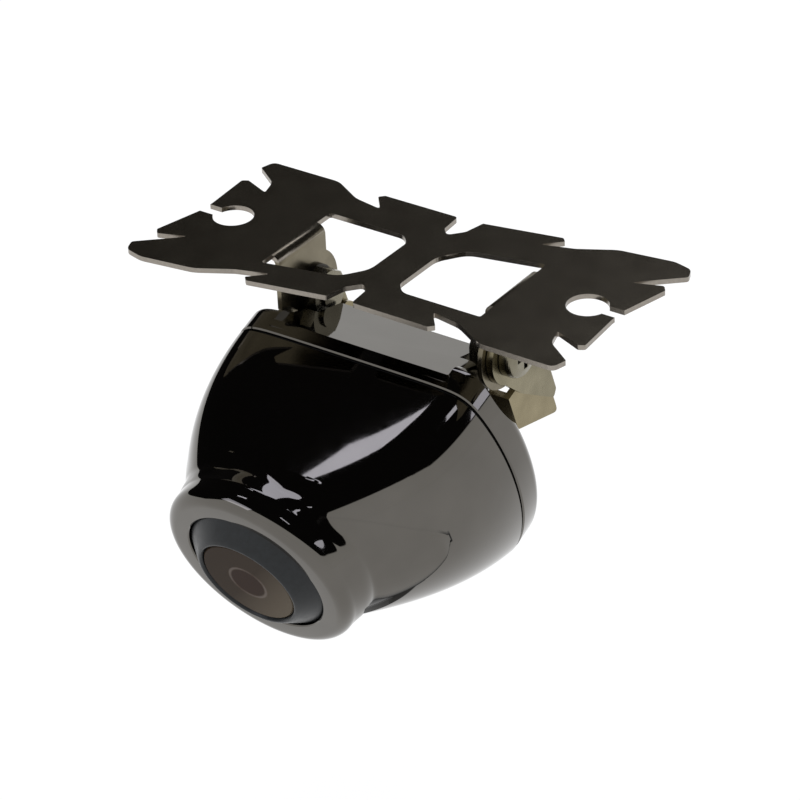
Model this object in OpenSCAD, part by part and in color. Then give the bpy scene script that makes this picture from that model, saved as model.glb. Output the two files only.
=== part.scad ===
// Backup camera on a notched mounting plate.
// A stamped plate lies under a bumper or behind a number plate. Two tabs bent down
// from its windows carry the camera on pivot screws, and the camera tilts about them.
// Millimetres, +Z up. The origin is the middle of the plate's top face, +X runs along
// the plate and the lens looks towards -Y and down.

/* [Mounting plate] */
// Length of the plate from blade tip to blade tip
plate_length = 58; // [54:0.5:70]
// Depth of the plate over its two blades
plate_depth = 29.4; // [27:0.2:36]
// Thickness of the sheet
sheet = 0.6; // [0.4:0.1:1]
// Diameter of the round screw notches
notch_d = 4.8; // [4:0.1:5.4]
// Distance of each screw notch from the middle, along the plate
notch_x = 22.7; // [21.5:0.1:23.5]
// Offset of each screw notch across the plate
notch_y = 1.74; // [1:0.02:2.5]
// Width of the throat that opens a screw notch to the plate's end
throat_w = 1.8; // [1.2:0.1:2.4]

/* [Tabs and pivot] */
// Middle of the tabs from the middle of the plate, along X
pattern_x = 0.3; // [-0.5:0.1:0.8]
// Pivot axis from the middle of the plate, along Y
pattern_y = -0.95; // [-1.5:0.05:0]
// Distance between the outer faces of the two tabs
tab_span = 26.6; // [25:0.2:28]
// Inner radius of the bend at the root of a tab
bend_r = 0.5; // [0.3:0.1:0.8]
// Depth of the pivot axis below the plate's top face
pivot_drop = 7; // [6.6:0.1:8]
// Radius of the round end of a tab
tab_r = 4.7; // [4.2:0.1:5]
// Reach of a tab's short side from the pivot
tab_short = 2.8; // [2.6:0.1:4]
// Reach of a tab's long side from the pivot
tab_long = 6; // [5:0.1:6]
// Diameter of the pivot screws
pivot_d = 3; // [2.5:0.1:3.5]
// Radial clearance of the pivot screws in their holes
pivot_clear = 0.05; // [0.03:0.01:0.1]
// Gap between a tab and its swivel arm, and under a screw head
side_gap = 0.1; // [0.05:0.01:0.15]
// Diameter of a pivot screw's head
head_d = 5.6; // [5:0.1:6.4]
// Height of a pivot screw's head
head_h = 1.7; // [1.2:0.1:2.2]
// Diameter of the pivot washers
washer_d = 6.2; // [6:0.1:7]
// Thickness of the pivot washers
washer_h = 0.5; // [0.3:0.1:0.8]
// Width of the pivot nuts across their flats
nut_flats = 5.5; // [5:0.1:6]
// Height of the pivot nuts
nut_h = 1.8; // [1.6:0.1:2.4]

/* [Swivel bracket] */
// Tilt of the lens below the horizontal
tilt = 20; // [5:1:60]
// Thickness of the bracket's sheet
arm_sheet = 0.8; // [0.6:0.1:1]
// Radius of a swivel arm round its pivot
arm_r = 3.9; // [3.6:0.1:4.2]
// Reach of the bracket's side leaves behind the pivot
leaf_back = 5.1; // [4.6:0.1:5.6]
// Depth of the swivel arms' lower tip below the pivot
arm_reach = 12.6; // [12:0.1:13.4]
// Depth of the saddle's lower edge below the pivot
saddle_reach = 16.2; // [15.6:0.1:17]
// Depth of the saddle's upper edge below the pivot
saddle_top = 6.4; // [6.2:0.1:6.8]
// Diameter of the rivets between arms and saddle
rivet_d = 1.4; // [1:0.1:1.6]

/* [Housing] */
// Seam plane of the housing ahead of the pivot, along the lens axis
seam_ahead = 10; // [9.6:0.1:11]
// Lens axis below the pivot, square to itself
axis_drop = 5.76; // [5.4:0.02:6.2]
// Half of the housing's width at the seam
rim_half = 18.5; // [18:0.1:20]
// Half of the height of the oval that rounds the housing's sides
rim_oval = 22.1; // [21:0.1:23]
// Flat top of the housing above the lens axis, at the seam
rim_top = 9.6; // [9:0.1:10.4]
// Flat bottom of the housing below the lens axis, at the seam
rim_bottom = 20.6; // [19.6:0.1:21.6]
// Middle of the oval below the lens axis, at the seam
rim_low = 3.9; // [3.5:0.1:4.5]
// Length of the tapered front shell from the seam to the nose
shell_len = 21; // [20:0.5:22]
// Radius of the front shell where it enters the nose
neck_r = 10.4; // [10:0.1:11]
// Half of the height of the oval that rounds the shell's shoulders at the nose
neck_oval = 12.1; // [11.4:0.1:13]
// Height of the front shell's top over the lens axis at the nose
neck_top = 10; // [9:0.1:10.4]
// Wall of the shells
wall = 1.8; // [1.4:0.1:2.2]
// Width of the seam between the front shell and the back cover
seam = 0.3; // [0.2:0.05:0.5]
// Straight depth of the back cover behind the seam
cover_straight = 2.6; // [2:0.1:3]
// Depth of the back cover's rounded edge
cover_round = 2.1; // [1.8:0.1:2.5]
// Inset of the back cover's rear face from its rim
cover_inset = 3.6; // [3:0.1:4.4]
// Half of the width of the slanted roof behind the rim
roof_half = 12; // [11:0.1:12]
// Height of the roof's rear edge over the lens axis
roof_low = 5.6; // [5:0.1:6.4]
// Rear pad that carries the saddle, behind the cover's rear face
pad_depth = 3.2; // [2.8:0.1:3.2]

/* [Nose and window] */
// Radius of the nose
nose_r = 11.8; // [11.4:0.1:12.4]
// Front face of the nose ahead of the tapered shell
nose_ahead = 2.95; // [2.4:0.05:3.6]
// Width of the round edge of the nose
nose_edge = 1.5; // [1:0.1:1.8]
// Depth of the nose's rim behind its round edge
nose_rim = 1.6; // [1.2:0.1:2]
// Length of the flare behind the nose's rim
flare_len = 3.45; // [2.6:0.05:3.8]
// Radius at which the flare leaves the shell
flare_r = 9; // [8:0.1:9.4]
// Tips of the cheeks, ahead of the seam
cheek_tip = 10.6; // [10:0.1:11.4]
// Height of the cheeks' lower edge over the shell
cheek_lip = 0.5; // [0.3:0.05:0.7]
// Start of the groove under a cheek, ahead of the seam
groove_start = 14.2; // [13.4:0.1:15]
// Depth of the groove under a cheek
groove_depth = 0.5; // [0.2:0.05:0.8]
// Radius of the seat of the dark lens ring
ring_seat_r = 8.64; // [8.4:0.02:8.8]
// Height of the lens ring's raised edge over the nose's front face
ring_proud = 1.65; // [1.2:0.05:2]
// Radius of the window
window_r = 5.8; // [5.5:0.05:6]
// Thickness of the window
window_h = 1; // [0.8:0.1:1.4]
// Clearance between round pieces that are seated in each other
seat_clear = 0.05; // [0.03:0.01:0.08]

/* [Inside] */
// Radius of the lens barrel
barrel_r = 5; // [4.8:0.1:5.2]
// Radius of the lenses in the barrel
lens_r = 3.15; // [3:0.05:3.3]
// Radius of the opening in front of the lenses
pupil_r = 2.4; // [2.2:0.05:2.6]
// Width of the sensor board
board_w = 23; // [22:0.5:24]
// Height of the sensor board
board_h = 14; // [13:0.5:14]
// Thickness of the sensor board
board_t = 1.2; // [1:0.1:1.6]
// Distance of the sensor board's rear face ahead of the seam
board_ahead = 4.8; // [4.6:0.1:5.2]
// Width and height of the infrared filter
filter_w = 8; // [7.5:0.1:8.5]
// Thickness of the infrared filter
filter_t = 0.5; // [0.3:0.1:0.8]
// Width of the image sensor
sensor_w = 6.4; // [5.8:0.1:7]
// Height of the image sensor
sensor_h = 5.2; // [4.8:0.1:5.6]
// Thickness of the image sensor
sensor_t = 0.9; // [0.7:0.1:1.2]
// Width of the wire header
header_w = 8; // [7:0.5:10]
// Height and depth of the wire header
header_h = 3.4; // [3:0.1:4]
// Wall of the wire header
header_wall = 0.6; // [0.4:0.1:0.8]
// Diameter of the housing screws
case_screw_d = 2.2; // [2:0.1:2.4]
// Diameter of the board screws
board_screw_d = 1.4; // [1.2:0.1:1.6]
// Outer diameter of the cable gland
gland_d = 6.4; // [6:0.1:7]
// Length of the cable gland behind the saddle
gland_len = 5.5; // [4.5:0.5:7]
// Bore of the cable gland
gland_bore = 3.2; // [2.8:0.1:3.6]

/* [Hidden] */
$fn = 64;
rim_power = 2.07;
edge_power = 9;
round_pts = 60;
flare_power = 1.5;
cheek_angle = -5.2;
cheek_lift = 0.212;
cheek_spread = 3.6;
cheek_blunt = 2;
groove_angle = -17;
groove_slope = 5.8;
skin_blend = 0.8;
tiny = 0.01;

end_x = plate_length / 2;
end_y = plate_depth / 2;
tab_face = tab_span / 2;
tab_inner = tab_face - sheet;
bend_out = bend_r + sheet;
tab_root = 0.5;
arm_inner = tab_face + side_gap;
arm_outer = arm_inner + arm_sheet;
pivot_r = pivot_d / 2;
pivot_hole_r = pivot_r + pivot_clear;
nut_face = tab_inner - washer_h;
saddle_y = -seam_ahead + seam / 2 + cover_straight + cover_round + pad_depth;
cover_rear = seam / 2 + cover_straight + cover_round;
nose_front = shell_len + nose_ahead;
nose_crest = nose_front - nose_edge;
nose_back = nose_crest - nose_rim;
flare_start = nose_back - flare_len;
cheek_end = nose_back - 1.45;
ring_r = ring_seat_r - seat_clear;
ring_back = nose_front - 3.95;
ring_top = nose_front + ring_proud;
window_seat_r = window_r + seat_clear;
window_front = ring_top - 0.2;
window_back = window_front - window_h;
seal_h = 0.4;
seal_w = 0.45;
barrel_front = window_back - seal_h - 0.4;
barrel_back = board_ahead + board_t + 6;
lens_stack = barrel_front - 2.2;
lens_h = 1.6;
spacer_h = 2.6;
retainer_h = 1.2;
holder_box = 13;
holder_h = 5;
holder_tube_r = barrel_r + 1.4;
board_front = board_ahead + board_t;
board_mid = -1;
boss_x = board_w / 2 - 2;
boss_y = board_h / 2 - 2;
case_bite = 6;
case_head = 1.2;
case_screws = [[13, -10.8], [-13, -10.8], [6.5, -14.8], [-6.5, -14.8]];
pad_w = 18;
pad_top = 0.3;
pad_corner = 2;
pad_rim = 1.8;
saddle_screws = [6.2, -6.2];
saddle_screw_r = 1.05;
saddle_hole_r = saddle_screw_r + seat_clear;
saddle_slant = 4.6;
rivet_edge = 1.6;
rivet_drop = 1.4;
rivet_step = 2.2;
web_rim = 0.8;
gland_seat_r = gland_d / 2 + seat_clear;
gland_hole_r = gland_seat_r + 0.4;
saddle_mid = -(saddle_top + web_rim + gland_hole_r);
web_bottom = saddle_mid - gland_hole_r - web_rim;
gland_up = saddle_mid + axis_drop;
pad_bottom = web_bottom + axis_drop - pad_rim;
nut_end = nut_face - nut_h - 0.4;
relief_gap = 0.4;

// Points of one rounded corner: the vertex b with radius r between neighbours a and c.
function unit(v) = v / norm(v);
function corner(a, b, c, r, steps = 5) =
    let (
        ua = unit([a[0] - b[0], a[1] - b[1]]),
        uc = unit([c[0] - b[0], c[1] - b[1]]),
        half = acos(max(-1, min(1, ua * uc))) / 2,
        room = 0.45 * min(norm([a[0] - b[0], a[1] - b[1]]), norm([c[0] - b[0], c[1] - b[1]])),
        reach = min(r / tan(half), room),
        start = [b[0], b[1]] + reach * ua,
        stop = [b[0], b[1]] + reach * uc
    )
    [for (i = [0 : steps])
        let (t = i / steps)
        (1 - t) * (1 - t) * start + 2 * t * (1 - t) * [b[0], b[1]] + t * t * stop];
function rounded(list) =
    [for (i = [0 : len(list) - 1])
        each corner(list[(i + len(list) - 1) % len(list)], list[i], list[(i + 1) % len(list)], list[i][2])];
function half_turn(list) = concat(list, [for (p = list) [-p[0], -p[1], p[2]]]);

// One half of the plate's outline: x, y and corner radius, from the rear slit round the
// right end to the front slit. Points of the end groups hang on the plate's tip.
half_outline = [
    [10.9, 10.4, 0.2],
    [15, 11.6, 3],
    [19.2, end_y - 0.9, 4],
    [end_x - 3, end_y, 3],
    [end_x - 0.6, end_y - 0.6, 1.2],
    [end_x, end_y - 2.2, 0.5],
    [end_x - 5, 8.2, 0.2],
    [end_x - 1.3, 9.5, 0.4],
    [end_x - 0.7, 8.7, 0.3],
    [end_x - 2.3, 2.6, 0.4],
    [end_x - 2.4, 0.5, 0.5],
    [end_x - 2, -5.6, 0.4],
    [end_x - 2.7, -6, 0.3],
    [end_x - 6.1, -4.6, 0.2],
    [end_x - 5.4, -7, 2],
    [end_x - 2.1, -9.3, 0.2],
    [end_x - 2.6, -11.1, 0.9],
    [17, -11.1, 3],
    [13, -8.8, 4],
    [9.1, -8.1, 0.3],
    [11, -10.4, 0.2],
    [10.4, -11, 0.2],
    [0.4, -11, 0.5],
    [0.2, -8, 0.8],
    [-0.8, -6.9, 0.8],
    [-2.3, -8.6, 1.2],
    [-2.9, -11.2, 0.2],
    [-12.5, -13, 0.4],
    [-13.1, -12.4, 0.2]
];

// One window, measured from the middle of the tab pattern. The other is its half turn.
window_outline = [
    [tab_face + bend_r, -5.4, 0.3],
    [3.6, -5.4, 1.8],
    [2.3, -4, 1.2],
    [2.4, 3, 3],
    [4.6, 6, 3],
    [tab_face + bend_r, 7.9, 0.3]
];

// Plate and tabs
module screw_notch() {
    translate([notch_x, notch_y]) circle(d = notch_d);
    translate([notch_x, notch_y + 0.1 - throat_w / 2]) square([end_x - notch_x, throat_w]);
}

module plate_outline() {
    difference() {
        polygon(rounded(half_turn(half_outline)));
        for (turn = [0, 180]) {
            rotate(turn) screw_notch();
            translate([pattern_x, pattern_y]) rotate(turn) polygon(rounded(window_outline));
        }
    }
}

// Tab in its own plane: across the plate, and down from the bend's end.
module tab_outline() {
    drop = pivot_drop - bend_out;
    difference() {
        union() {
            translate([0, -drop]) circle(r = tab_r);
            polygon([[-tab_short, 0], [tab_long, 0], [tab_long, -drop + 0.2],
                [tab_r * cos(40), -drop - tab_r * sin(40)], [-tab_short, -drop]]);
        }
        translate([0, -drop]) circle(r = pivot_hole_r);
    }
}

module right_tab() {
    translate([tab_inner, 0, -bend_out]) rotate([90, 0, 90]) linear_extrude(sheet) tab_outline();
    translate([tab_face + bend_r, tab_long, -bend_out]) rotate([90, 0, 0])
        linear_extrude(tab_long + tab_short) {
            intersection() {
                difference() {
                    circle(r = bend_out);
                    circle(r = bend_r);
                }
                translate([-bend_out, 0]) square(bend_out);
            }
            translate([0, bend_r]) square([tab_root, sheet]);
        }
}

module mount_plate() {
    color("#2b2723") {
        translate([0, 0, -sheet]) linear_extrude(sheet) plate_outline();
        translate([pattern_x, pattern_y, 0]) for (turn = [0, 180]) rotate(turn) right_tab();
    }
}

// Places: the pivot's own frame, the tilted camera and the housing with its lens axis along Z
module at_pivot() translate([pattern_x, pattern_y, -pivot_drop]) children();
module at_camera() at_pivot() rotate([tilt, 0, 0]) children();
module at_housing() at_camera() translate([0, -seam_ahead, -axis_drop]) rotate([90, 0, 0]) children();
module along_x(x) translate([x, 0, 0]) rotate([0, 90, 0]) children();
module on_side(side) if (side < 0) mirror([1, 0, 0]) children(); else children();

// Pivots
module pivot_screw(side) {
    head_x = arm_outer + side_gap;
    color("#8f8a78") at_pivot() on_side(side) difference() {
        union() {
            along_x(nut_end) cylinder(r = pivot_r, h = head_x - nut_end + tiny);
            along_x(head_x) rotate_extrude() polygon(concat(
                [[0, 0], [head_d / 2, 0], [head_d / 2, head_h * 0.45]],
                [for (a = [15 : 15 : 60])
                    [head_d / 2 - 0.6 * (1 - cos(a)), head_h * (0.45 + 0.5 * sin(a))]],
                [[head_d / 2 - 1.1, head_h], [0, head_h]]));
        }
        along_x(head_x + head_h - 0.8) for (turn = [0, 90]) rotate(turn)
            translate([-head_d * 0.28, -0.35, 0]) cube([head_d * 0.56, 0.7, 1]);
    }
}

module pivot_washer(side) {
    color("#3a3733") at_pivot() on_side(side) along_x(nut_face) difference() {
        cylinder(d = washer_d, h = washer_h);
        translate([0, 0, -1]) cylinder(r = pivot_hole_r, h = washer_h + 2);
    }
}

module pivot_nut(side) {
    nut_r = nut_flats / 2 / cos(30);
    color("#a39b82") at_pivot() on_side(side) along_x(nut_face - nut_h) difference() {
        intersection() {
            cylinder(r = nut_r, h = nut_h, $fn = 6);
            cylinder(r1 = nut_flats / 2 + 0.1, r2 = nut_flats / 2 + 0.1 + nut_h, h = nut_h);
        }
        translate([0, 0, -1]) cylinder(r = pivot_hole_r, h = nut_h + 2);
    }
}

// Swivel bracket: side leaves drawn in the camera's frame, backwards and up from the pivot
module arm_outline() {
    difference() {
        union() {
            circle(r = arm_r);
            polygon(rounded([[-arm_r * cos(10), -arm_r * sin(10), 0.3], [-0.5, -6.6, 1],
                [leaf_back - 0.8, -arm_reach, 0.6], [leaf_back, -arm_reach + 0.8, 0.4], [leaf_back, -5.4, 1.5],
                [arm_r * cos(20), arm_r * sin(20), 0.2], [0, 0, 0.1]]));
        }
        circle(r = pivot_hole_r);
        rivet_places() circle(d = rivet_d);
    }
}

module rivet_places() {
    translate([rivet_edge, -saddle_top - rivet_drop]) children();
    translate([leaf_back - rivet_edge, -saddle_top - rivet_drop - rivet_step]) children();
}

module side_leaf(x, thick) translate([x, 0, 0]) rotate([90, 0, 90]) linear_extrude(thick) children();

module swivel_arm(side) {
    color("#9c957c") at_camera() on_side(side) side_leaf(arm_inner, arm_sheet) arm_outline();
}

module arm_rivets() {
    color("#8a846e") at_camera() for (side = [-1, 1]) on_side(side)
        translate([arm_inner - arm_sheet, 0, 0]) rotate([90, 0, 90]) rivet_places() {
            cylinder(d = rivet_d - 2 * seat_clear, h = 2 * arm_sheet);
            translate([0, 0, -0.4]) cylinder(d = rivet_d * 1.7, h = 0.4);
        }
}

module saddle_leaf() {
    difference() {
        polygon(rounded([[saddle_y, -saddle_top, 0.2], [saddle_y, -saddle_reach + saddle_slant, 0.6],
            [leaf_back, -saddle_reach, 0.5], [leaf_back, -saddle_top - 1, 0.8],
            [leaf_back - 1, -saddle_top, 0.6]]));
        rivet_places() circle(d = rivet_d);
    }
}

module saddle_web() {
    polygon([[-arm_inner, -saddle_top], [arm_inner, -saddle_top], [arm_inner, -saddle_reach + saddle_slant],
        [pad_w / 2, web_bottom], [-pad_w / 2, web_bottom], [-arm_inner, -saddle_reach + saddle_slant]]);
}

module rear_saddle() {
    color("#7d755d") at_camera() difference() {
        union() {
            for (side = [-1, 1]) on_side(side) side_leaf(arm_inner - arm_sheet, arm_sheet) saddle_leaf();
            translate([0, saddle_y + arm_sheet, 0]) rotate([90, 0, 0]) linear_extrude(arm_sheet) saddle_web();
        }
        translate([0, saddle_y - 1, saddle_mid]) rotate([-90, 0, 0])
            cylinder(r = gland_hole_r, h = arm_sheet + 2);
        for (x = saddle_screws) translate([x, saddle_y - 1, saddle_mid]) rotate([-90, 0, 0])
            cylinder(r = saddle_hole_r, h = arm_sheet + 2);
    }
}

module saddle_screws() {
    head = 1.2;
    color("#8f8a78") at_camera() for (x = saddle_screws) translate([x, saddle_y + arm_sheet, saddle_mid])
        rotate([90, 0, 0]) {
            cylinder(r = saddle_screw_r, h = arm_sheet + pad_depth);
            translate([0, 0, -head]) cylinder(r1 = 1.5, r2 = 2, h = head);
        }
}

// Housing outline: an oval with a flat top and bottom, which narrows to the round neck
function lerp(a, b, t) = a + (b - a) * t;
function soft_limit(v, limit) =
    v < tiny ? 0 : pow(pow(v, -edge_power) + pow(limit, -edge_power), -1 / edge_power);
function signed_pow(v, p) = sign(v) * pow(abs(v), p);
function outline_point(angle, s, inset) =
    let (
        half = lerp(rim_half, neck_r, pow(s, 2.3)) - inset,
        upper = lerp(rim_oval, neck_oval, pow(s, 1.3)) - inset,
        lower = lerp(rim_oval, neck_r, s) - inset,
        mid = -lerp(rim_low, 0.4, pow(s, 1.35)),
        top = lerp(rim_top, neck_top, pow(s, 0.8)) - inset - mid,
        bottom = lerp(rim_bottom, neck_r, s) - inset + mid,
        x = half * signed_pow(cos(angle), 2 / rim_power),
        y = signed_pow(sin(angle), 2 / rim_power)
    )
    [x, mid + (y > 0 ? soft_limit(upper * y, top) : -soft_limit(-lower * y, bottom))];
function outline_ring(s, inset) = [for (i = [0 : round_pts - 1]) outline_point(360 * i / round_pts, s, inset)];

module rim_shape(inset) polygon(outline_ring(0, inset));

// Skin over a stack of rings, each a height and its points. The diagonals of the first and
// the second half lean opposite ways, so that a symmetrical form stays so.
module loft(stack) {
    n = len(stack[0][1]);
    m = len(stack);
    points = [for (k = stack) for (p = k[1]) [p[0], p[1], k[0]]];
    sides = [for (j = [0 : m - 2]) for (i = [0 : n - 1])
        let (a = j * n + i, b = j * n + (i + 1) % n, c = b + n, d = a + n)
        each i < n / 2 ? [[a, d, b], [d, c, b]] : [[a, c, b], [a, d, c]]];
    caps = [[for (i = [0 : n - 1]) i], [for (i = [n - 1 : -1 : 0]) (m - 1) * n + i]];
    polyhedron(points = points, faces = concat(sides, caps), convexity = 6);
}

module inner_form(inset, from, to) {
    steps = 9;
    loft([for (i = [0 : steps])
        let (s = lerp(from, to, i / steps))
        [seam / 2 + s * shell_len, outline_ring(max(0, s), inset)]]);
}

// Outer skin of the front shell. Its rings follow the edges of the cheeks, two tongues that
// run back from the nose along the sides, each with a groove below. Angles are about the
// lens axis, from the top down the right side.
function smooth_step(low, high, v) = let (t = max(0, min(1, (v - low) / (high - low)))) t * t * (3 - 2 * t);
function soft_max(a, b, blend) = max(a, b) + pow(max(blend - abs(a - b), 0), 2) / (4 * blend);
function span(a, b, n) = [for (i = [0 : n - 1]) lerp(a, b, i / n)];
function collar_r(z) =
    z <= flare_start ? 0
    : z < nose_back ? lerp(flare_r, nose_r, pow((z - flare_start) / (nose_back - flare_start), flare_power))
    : z <= nose_crest ? nose_r
    : nose_r - nose_edge * (1 - sqrt(max(0, 1 - pow((z - nose_crest) / nose_edge, 2))));
function cheek_run(z) = max(0, min(z, cheek_end) - cheek_tip);
function cheek_middle(z) = cheek_angle + cheek_lift * pow(cheek_run(z), 2);
function cheek_half(z) = max(1.5, cheek_spread * cheek_run(z) + cheek_blunt * (1 - exp(-cheek_run(z) / 0.35)));
function cheek_upper(z) = cheek_middle(z) + cheek_half(z);
function cheek_lower(z) = cheek_middle(z) - cheek_half(z);
function groove_line(z) =
    min(groove_angle - groove_slope * (min(z, cheek_end) - groove_start), cheek_lower(z) - 3);
function side_angles(z) =
    let (upper = cheek_upper(z), lower = cheek_lower(z), groove = groove_line(z))
    concat(span(90, upper, 18), span(upper, lower, 7), [lower], span(lower - 1, groove, 2), [groove],
        span(groove - 1, -90, 8));
function side_radius(a, z, table) =
    let (
        upper = cheek_upper(z),
        lower = cheek_lower(z),
        across = max(0, min(1, (upper - a) / (upper - lower))),
        fade = 1 - smooth_step(cheek_end - 1, cheek_end + 0.6, z),
        rise = fade * smooth_step(cheek_tip - 0.1, cheek_tip + 0.5, z),
        lip = a < lower - tiny ? 0 : cheek_lip * (0.35 + 0.65 * across) * smooth_step(0, 0.12, across),
        shut = 1 - smooth_step(cheek_end, cheek_end + 0.8, z),
        sink = shut * smooth_step(groove_start, groove_start + 2, z),
        dent = a < lower - 0.5 && a > groove_line(z) + tiny ? groove_depth : 0,
        shell = lookup(a, table) + lip * rise - dent * sink
    )
    z < nose_back ? soft_max(shell, collar_r(z), skin_blend) : collar_r(z);
function side_table(s) =
    [for (t = [-90 : 3 : 90]) let (p = outline_point(t, s, 0)) [atan2(p[1], p[0]), norm(p)]];
function skin_ring(z) =
    let (
        table = side_table(max(0, min(1, (z - seam / 2) / shell_len))),
        right = side_angles(z),
        radius = [for (a = right) side_radius(a, z, table)],
        n = len(right)
    )
    concat([[0, -side_radius(-90, z, table)]],
        [for (i = [n - 1 : -1 : 0]) radius[i] * [cos(right[i]), sin(right[i])]],
        [for (i = [1 : n - 1]) radius[i] * [-cos(right[i]), sin(right[i])]]);
skin_heights = concat(span(seam / 2, cheek_tip - 0.3, 5), span(cheek_tip - 0.3, cheek_tip + 1, 4),
    span(cheek_tip + 1, flare_start, 6), span(flare_start, nose_back, 6), [nose_back],
    [for (a = [0 : 18 : 90]) nose_crest + nose_edge * sin(a)]);

module skin_form() loft([for (z = skin_heights) [z, skin_ring(z)]]);

module board_places()
    for (x = [-boss_x, boss_x], y = [-boss_y, boss_y]) translate([x, board_mid + y, 0]) children();
module case_places() for (p = case_screws) translate(p) children();

module front_shell() {
    color("#16161a") at_housing() difference() {
        union() {
            difference() {
                skin_form();
                inner_form(wall, -0.02, 0.86);
            }
            intersection() {
                inner_form(wall / 2, 0, 0.98);
                union() {
                    board_places() translate([0, 0, board_front])
                        cylinder(r = board_screw_d / 2 + 1, h = shell_len);
                    case_places() translate([0, 0, seam / 2]) cylinder(r = case_screw_d / 2 + 1.2, h = case_bite + 3);
                }
            }
        }
        translate([0, 0, ring_back]) cylinder(r = ring_seat_r, h = nose_front);
        cylinder(r = barrel_r + 0.8, h = nose_front);
        board_places() translate([0, 0, board_front - 1]) cylinder(r = board_screw_d / 2 + seat_clear, h = 5);
        case_places() cylinder(r = case_screw_d / 2 + seat_clear, h = case_bite + 1);
    }
}

module cover_form(inset) {
    steps = 6;
    rim = [[0, outline_ring(0, inset)], [cover_straight, outline_ring(0, inset)]];
    edge = [for (i = [1 : steps]) let (a = 90 * i / steps)
        [cover_straight + cover_round * sin(a), outline_ring(0, inset + cover_inset * (1 - cos(a)))]];
    mirror([0, 0, 1]) translate([0, 0, seam / 2]) loft(concat(rim, edge));
}

module rear_pad() {
    translate([-pad_w / 2 + pad_corner, pad_bottom + pad_corner, -cover_rear - pad_depth])
        linear_extrude(pad_depth + tiny) offset(r = pad_corner, $fn = 32)
            square([pad_w - 2 * pad_corner, pad_top - pad_bottom - 2 * pad_corner]);
}

// Slanted roof from the rim back to the pad's rear face, drawn from the side
module cover_roof() {
    rear = cover_rear + pad_depth;
    intersection() {
        translate([-roof_half, 0, 0]) rotate([0, 90, 0]) linear_extrude(2 * roof_half)
            polygon([[seam / 2 + 1, pad_top], [seam / 2 + 1, rim_top - wall],
                [seam / 2 + cover_straight, rim_top - 0.05], [rear, roof_low], [rear, pad_top]]);
        rotate([90, 0, 0]) translate([0, 0, -rim_top]) linear_extrude(2 * rim_top)
            polygon(rounded([[-roof_half, 0, 0.1], [roof_half, 0, 0.1], [roof_half, -rear, pad_corner],
                [-roof_half, -rear, pad_corner]]));
    }
}

module back_cover() {
    tab_relief_r = tab_long + 1.4;
    color("#1a1a1e") at_camera() difference() {
        translate([0, -seam_ahead, -axis_drop]) rotate([90, 0, 0]) difference() {
            union() {
                cover_form(0);
                rear_pad();
                cover_roof();
            }
            translate([0, 0, wall]) intersection() {
                cover_form(wall);
                translate([-50, -50, -50]) cube([100, 100, 50]);
            }
            case_places() translate([0, 0, -cover_rear - 1])
                cylinder(r = case_screw_d / 2 + seat_clear, h = cover_rear + 2);
            translate([0, gland_up, -cover_rear - pad_depth - 1])
                cylinder(r = gland_seat_r, h = cover_rear + pad_depth + 1);
        }
        for (side = [-1, 1]) on_side(side) {
            along_x(tab_inner - relief_gap) cylinder(r = tab_relief_r, h = 2 * wall + arm_outer - tab_inner);
            along_x(nut_end - relief_gap) cylinder(r = washer_d / 2 + relief_gap, h = tab_inner - nut_end);
        }
        for (x = saddle_screws) translate([x, saddle_y + 1, saddle_mid]) rotate([90, 0, 0])
            cylinder(r = saddle_hole_r, h = pad_depth + 1);
    }
}

module cover_gasket() {
    color("#0c0c0c") at_housing() translate([0, 0, -seam / 2]) linear_extrude(seam) difference() {
        rim_shape(0.5);
        rim_shape(wall);
    }
}

module housing_screws() {
    color("#8f8a78") at_housing() case_places() translate([0, 0, -cover_rear]) {
        cylinder(d = case_screw_d, h = cover_rear + case_bite);
        translate([0, 0, -case_head]) cylinder(r1 = case_screw_d * 0.6, r2 = case_screw_d * 0.85, h = case_head);
    }
}

module cable_gland() {
    inner_end = -cover_rear + wall - 1;
    color("#17171a") at_housing() translate([0, gland_up, 0]) difference() {
        union() {
            mirror([0, 0, 1]) translate([0, 0, -inner_end])
                cylinder(d = gland_d, h = cover_rear + pad_depth + inner_end);
            mirror([0, 0, 1]) translate([0, 0, cover_rear + pad_depth])
                cylinder(d1 = gland_d, d2 = gland_d - 1.6, h = arm_sheet + gland_len);
        }
        translate([0, 0, -40]) cylinder(d = gland_bore, h = 50);
    }
}

// Lens ring and window
module lens_ring() {
    lip_r = window_seat_r + 0.3;
    ledge_r = window_r - seal_w - 0.1;
    color("#262a2e") at_housing() rotate_extrude($fn = 96) polygon([
        [ledge_r, ring_back], [ring_r, ring_back], [ring_r, nose_front - 0.5],
        [ring_r - 0.3, nose_front - 0.15], [lip_r + 1.1, nose_front + 0.75], [lip_r + 0.35, ring_top - 0.25],
        [lip_r + 0.1, ring_top], [lip_r - 0.15, ring_top], [window_seat_r, window_front - 0.1],
        [window_seat_r, window_back - seal_h], [ledge_r, window_back - seal_h]]);
}

module cover_window() {
    color("#5a4636") at_housing() translate([0, 0, window_back]) rotate_extrude($fn = 96)
        polygon([[0, 0], [window_r, 0], [window_r, window_h - 0.15], [window_r - 0.15, window_h],
            [0, window_h]]);
}

module window_seal() {
    color("#0c0c0c") at_housing() translate([0, 0, window_back - seal_h]) difference() {
        cylinder(r = window_r, h = seal_h);
        translate([0, 0, -1]) cylinder(r = window_r - seal_w, h = seal_h + 2);
    }
}

// Lens assembly
module lens_barrel() {
    color("#111114") at_housing() difference() {
        translate([0, 0, barrel_back]) cylinder(r = barrel_r, h = barrel_front - barrel_back);
        translate([0, 0, barrel_back - 1]) cylinder(r = lens_r + seat_clear, h = lens_stack - barrel_back + 1);
        cylinder(r = pupil_r, h = barrel_front + 1);
        translate([0, 0, barrel_front - 0.9]) cylinder(r1 = pupil_r, r2 = pupil_r + 0.9, h = 0.9 + tiny);
    }
}

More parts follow.
